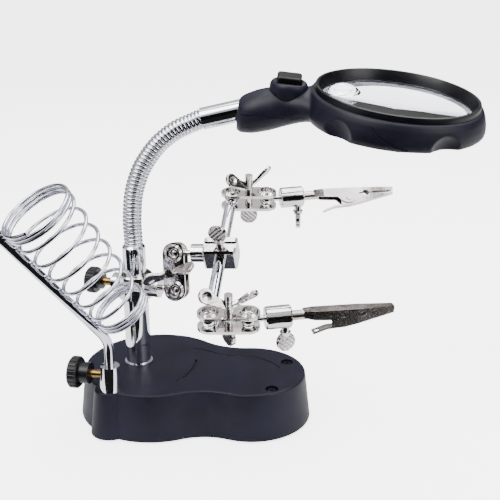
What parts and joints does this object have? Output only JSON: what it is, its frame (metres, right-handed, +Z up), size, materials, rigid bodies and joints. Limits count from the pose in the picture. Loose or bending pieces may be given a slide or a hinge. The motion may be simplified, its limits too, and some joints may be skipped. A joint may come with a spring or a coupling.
{
  "type": "helping hands clamp",
  "caption": "Weighted bench stand with a jointed crossbar carrying alligator clips, a lighted magnifier on a flexible arm and a coiled soldering iron holder.",
  "frame": {"origin": "on the surface the object stands on, under the axis of the upright post", "axes": "+X along the length of the base towards its round small lobe, +Y to the far side of the base, +Z up along the post"},
  "size_m": [0.2494, 0.1674, 0.2099],
  "materials": {
    "base_plastic": "satin moulded ABS, slate black",
    "ballast_iron": "raw casting",
    "cell_jacket": "printed sleeve, plain colour",
    "contact_spring_steel": "nickel plated spring steel",
    "foot_rubber": "soft matt",
    "dark_screw": "blackened steel",
    "post_chrome": "polished chrome plate",
    "plain_steel": "zinc plated",
    "cast_chrome": "polished nickel-chrome on casting",
    "ball_nickel": "polished nickel",
    "knob_plastic": "black moulded, light gloss",
    "stud_brass": "turned brass",
    "wire_chrome": "polished chrome wire",
    "bar_chrome": "polished chrome rod",
    "head_plastic": "satin moulded ABS, slate black",
    "rim_plastic": "black, light gloss",
    "button_plastic": "black",
    "lens_clear": "clear acrylic lens",
    "lamp_clear": "clear epoxy lamp",
    "screw_nickel": "cast, bright nickel",
    "plate_nickel": "stamped, bright nickel",
    "hose_chrome": "wound chrome wire",
    "clip_steel": "nickel plated sheet steel"
  },
  "bodies": {
    "base": {"base_shell": "base_plastic", "base_bottom_cover": "base_plastic", "ballast_plate": "ballast_iron", "battery_cells": "cell_jacket", "battery_contacts": "contact_spring_steel", "rubber_feet": "foot_rubber", "deck_screws": "dark_screw", "cover_screws": "dark_screw", "post_tube": "post_chrome", "post_nut": "plain_steel", "gooseneck_sleeve": "post_chrome", "iron_socket": "post_chrome"},
    "battery_door": {"battery_door": "base_plastic"},
    "socket_knob": {"socket_knob": "knob_plastic", "socket_knob_stud": "stud_brass"},
    "iron_holder": {"iron_holder_rod": "wire_chrome", "iron_holder_coil": "wire_chrome"},
    "collar": {"post_collar": "cast_chrome", "collar_ball_stud": "ball_nickel"},
    "collar_knob": {"collar_knob": "knob_plastic", "collar_knob_stud": "stud_brass"},
    "root_clamp": {"root_clamp_plates": "plate_nickel", "root_clamp_bolt": "screw_nickel"},
    "root_wing_nut": {"root_clamp_wing_nut": "screw_nickel"},
    "crossbar_stud": {"crossbar_ball_stud": "ball_nickel"},
    "crossbar_block": {"crossbar_block": "cast_chrome"},
    "crossbar_screw": {"crossbar_thumbscrew": "screw_nickel"},
    "crossbar_bar": {"crossbar": "bar_chrome"},
    "head": {"head_tube": "post_chrome", "head_shell_top": "head_plastic", "head_shell_bottom": "head_plastic", "lens_rim": "rim_plastic", "main_lens": "lens_clear", "inset_lens": "lens_clear", "led_lamps": "lamp_clear", "switch_bezel": "rim_plastic"},
    "switch_button": {"switch_button": "button_plastic"},
    "gooseneck_1": {"gooseneck_link_1": "hose_chrome"},
    "gooseneck_2": {"gooseneck_link_2": "hose_chrome"},
    "gooseneck_3": {"gooseneck_link_3": "hose_chrome"},
    "gooseneck_4": {"gooseneck_link_4": "hose_chrome"},
    "gooseneck_5": {"gooseneck_link_5": "hose_chrome"},
    "upper_clamp": {"upper_clamp_plates": "plate_nickel", "upper_clamp_bolt": "screw_nickel"},
    "upper_wing_nut": {"upper_clamp_wing_nut": "screw_nickel"},
    "upper_barrel": {"upper_clip_barrel": "cast_chrome"},
    "upper_screw": {"upper_clip_thumbscrew": "screw_nickel"},
    "upper_clip": {"upper_clip_frame": "clip_steel", "upper_clip_rivet": "clip_steel", "upper_clip_spring": "contact_spring_steel"},
    "upper_jaw": {"upper_clip_jaw": "clip_steel"},
    "lower_clamp": {"lower_clamp_plates": "plate_nickel", "lower_clamp_bolt": "screw_nickel"},
    "lower_wing_nut": {"lower_clamp_wing_nut": "screw_nickel"},
    "lower_barrel": {"lower_clip_barrel": "cast_chrome"},
    "lower_screw": {"lower_clip_thumbscrew": "screw_nickel"},
    "lower_clip": {"lower_clip_frame": "clip_steel", "lower_clip_rivet": "clip_steel", "lower_clip_spring": "contact_spring_steel"},
    "lower_jaw": {"lower_clip_jaw": "clip_steel"}
  },
  "joints": [
    {"name": "battery_door_open", "type": "hinge", "parent": "base", "child": "battery_door", "pos_m": [0.05505, 0, 0.0024], "axis": [0, 1, 0], "range_deg": [0, 75]},
    {"name": "socket_knob_turn", "type": "hinge", "parent": "base", "child": "socket_knob", "pos_m": [-0.017, -0.038, 0.039], "axis": [-1, 0, 0], "range_deg": [0, 270]},
    {"name": "iron_holder_turn", "type": "hinge", "parent": "base", "child": "iron_holder", "pos_m": [-0.005, -0.038, 0.03], "axis": [0, 0, 1], "range_deg": [-35, 50]},
    {"name": "collar_turn", "type": "hinge", "parent": "base", "child": "collar", "pos_m": [0, 0, 0.0815], "axis": [0, 0, 1], "range_deg": [-24, 30]},
    {"name": "collar_knob_turn", "type": "hinge", "parent": "collar", "child": "collar_knob", "pos_m": [-0.01981, 0.00278, 0.0815], "axis": [-0.9903, 0.1392, 0], "range_deg": [0, 270]},
    {"name": "root_clamp_swing", "type": "hinge", "parent": "collar", "child": "root_clamp", "pos_m": [0.02733, -0.00384, 0.0815], "axis": [-0.0217, -0.9704, 0.2406], "range_deg": [-8, 10]},
    {"name": "root_wing_nut_turn", "type": "hinge", "parent": "root_clamp", "child": "root_wing_nut", "pos_m": [0.02637, -0.00118, 0.09213], "axis": [-0.0217, -0.9704, 0.2406], "range_deg": [0, 270]},
    {"name": "crossbar_stud_swing", "type": "hinge", "parent": "root_clamp", "child": "crossbar_stud", "pos_m": [0.02542, 0.00147, 0.10276], "axis": [-0.0217, -0.9704, 0.2406], "range_deg": [-14, 6]},
    {"name": "crossbar_twist", "type": "hinge", "parent": "crossbar_stud", "child": "crossbar_block", "pos_m": [0.05343, 0.0021, 0.10413], "axis": [0.9986, 0.0223, 0.0486], "range_deg": [-20, 15]},
    {"name": "crossbar_screw_turn", "type": "hinge", "parent": "crossbar_block", "child": "crossbar_screw", "pos_m": [0.05343, 0.0021, 0.10413], "axis": [-0.0324, -0.4711, 0.8815], "range_deg": [0, 270]},
    {"name": "crossbar_slide", "type": "slide", "parent": "crossbar_block", "child": "crossbar_bar", "axis": [-0.0425, 0.8818, 0.4697], "range_m": [-0.02, 0.02]},
    {"name": "upper_clamp_swing", "type": "hinge", "parent": "crossbar_bar", "child": "upper_clamp", "pos_m": [0.0514, 0.0441, 0.1265], "axis": [0.042, -0.2382, 0.9703], "range_deg": [-20, 30]},
    {"name": "upper_wing_nut_turn", "type": "hinge", "parent": "upper_clamp", "child": "upper_wing_nut", "pos_m": [0.06223, 0.04601, 0.1265], "axis": [0.042, -0.2382, 0.9703], "range_deg": [0, 270]},
    {"name": "upper_clip_swing", "type": "hinge", "parent": "upper_clamp", "child": "upper_barrel", "pos_m": [0.07307, 0.04792, 0.1265], "axis": [0.042, -0.2382, 0.9703], "range_deg": [-30, 30]},
    {"name": "upper_screw_turn", "type": "hinge", "parent": "upper_barrel", "child": "upper_screw", "pos_m": [0.09229, 0.05454, 0.12735], "axis": [0.0396, 0.0136, -0.9991], "range_deg": [0, 270]},
    {"name": "upper_clip_roll", "type": "hinge", "parent": "upper_barrel", "child": "upper_clip", "pos_m": [0.09545, 0.05563, 0.12749], "axis": [0.9447, 0.3253, 0.0419], "range_deg": [-90, 90]},
    {"name": "upper_jaw_open", "type": "hinge", "parent": "upper_clip", "child": "upper_jaw", "pos_m": [0.1237, 0.06306, 0.12523], "axis": [-0.2551, 0.8091, -0.5295], "range_deg": [0, 22], "stiffness_Nm_per_rad": 0.02, "springref_deg": -22.92, "deforming": ["upper_clip_spring"]},
    {"name": "lower_clamp_swing", "type": "hinge", "parent": "crossbar_bar", "child": "lower_clamp", "pos_m": [0.0556, -0.043, 0.0801], "axis": [0.0462, -0.2375, 0.9703], "range_deg": [-30, 10]},
    {"name": "lower_wing_nut_turn", "type": "hinge", "parent": "lower_clamp", "child": "lower_wing_nut", "pos_m": [0.0664, -0.0409, 0.0801], "axis": [0.0462, -0.2375, 0.9703], "range_deg": [0, 270]},
    {"name": "lower_clip_swing", "type": "hinge", "parent": "lower_clamp", "child": "lower_barrel", "pos_m": [0.0772, -0.0388, 0.0801], "axis": [0.0462, -0.2375, 0.9703], "range_deg": [-30, 30]},
    {"name": "lower_screw_turn", "type": "hinge", "parent": "lower_barrel", "child": "lower_screw", "pos_m": [0.09642, -0.03218, 0.08088], "axis": [0.0363, 0.0125, -0.9993], "range_deg": [0, 270]},
    {"name": "lower_clip_roll", "type": "hinge", "parent": "lower_barrel", "child": "lower_clip", "pos_m": [0.09959, -0.03109, 0.08101], "axis": [0.9448, 0.3253, 0.0384], "range_deg": [-90, 90]},
    {"name": "lower_jaw_open", "type": "hinge", "parent": "lower_clip", "child": "lower_jaw", "pos_m": [0.12714, -0.02161, 0.07803], "axis": [-0.3256, 0.9455, 0], "range_deg": [0, 22], "stiffness_Nm_per_rad": 0.02, "springref_deg": -22.92, "deforming": ["lower_clip_spring"]},
    {"name": "gooseneck_turn", "type": "hinge", "parent": "base", "child": "gooseneck_1", "pos_m": [0, 0, 0.107], "axis": [0, 0, -1], "range_deg": [-30, 40]},
    {"name": "gooseneck_bend", "type": "hinge", "parent": "gooseneck_1", "child": "gooseneck_2", "pos_m": [0, 0, 0.1258], "axis": [-0.1736, 0.9848, 0], "range_deg": [-9, 2]},
    {"name": "gooseneck_bend_2", "type": "hinge", "parent": "gooseneck_2", "child": "gooseneck_3", "pos_m": [0.00296, 0.00052, 0.14428], "axis": [-0.1736, 0.9848, 0], "range_deg": [-9, 2]},
    {"name": "gooseneck_bend_3", "type": "hinge", "parent": "gooseneck_3", "child": "gooseneck_4", "pos_m": [0.0112, 0.00197, 0.16105], "axis": [-0.1736, 0.9848, 0], "range_deg": [-9, 2]},
    {"name": "gooseneck_bend_4", "type": "hinge", "parent": "gooseneck_4", "child": "gooseneck_5", "pos_m": [0.02428, 0.00428, 0.17421], "axis": [-0.1736, 0.9848, 0], "range_deg": [-9, 2]},
    {"name": "gooseneck_bend_5", "type": "hinge", "parent": "gooseneck_5", "child": "head", "pos_m": [0.04086, 0.0072, 0.18243], "axis": [-0.1736, 0.9848, 0], "range_deg": [-9, 2]},
    {"name": "switch_press", "type": "slide", "parent": "head", "child": "switch_button", "axis": [-0.1198, 0.1534, -0.9809], "range_m": [0, 0.002], "stiffness_N_per_m": 400, "springref_m": -0.002}
  ],
  "couplings": [
    {"joint": "gooseneck_bend_2", "follows": "gooseneck_bend", "ratio": 1},
    {"joint": "gooseneck_bend_3", "follows": "gooseneck_bend", "ratio": 1},
    {"joint": "gooseneck_bend_4", "follows": "gooseneck_bend", "ratio": 1},
    {"joint": "gooseneck_bend_5", "follows": "gooseneck_bend", "ratio": 1}
  ]
}
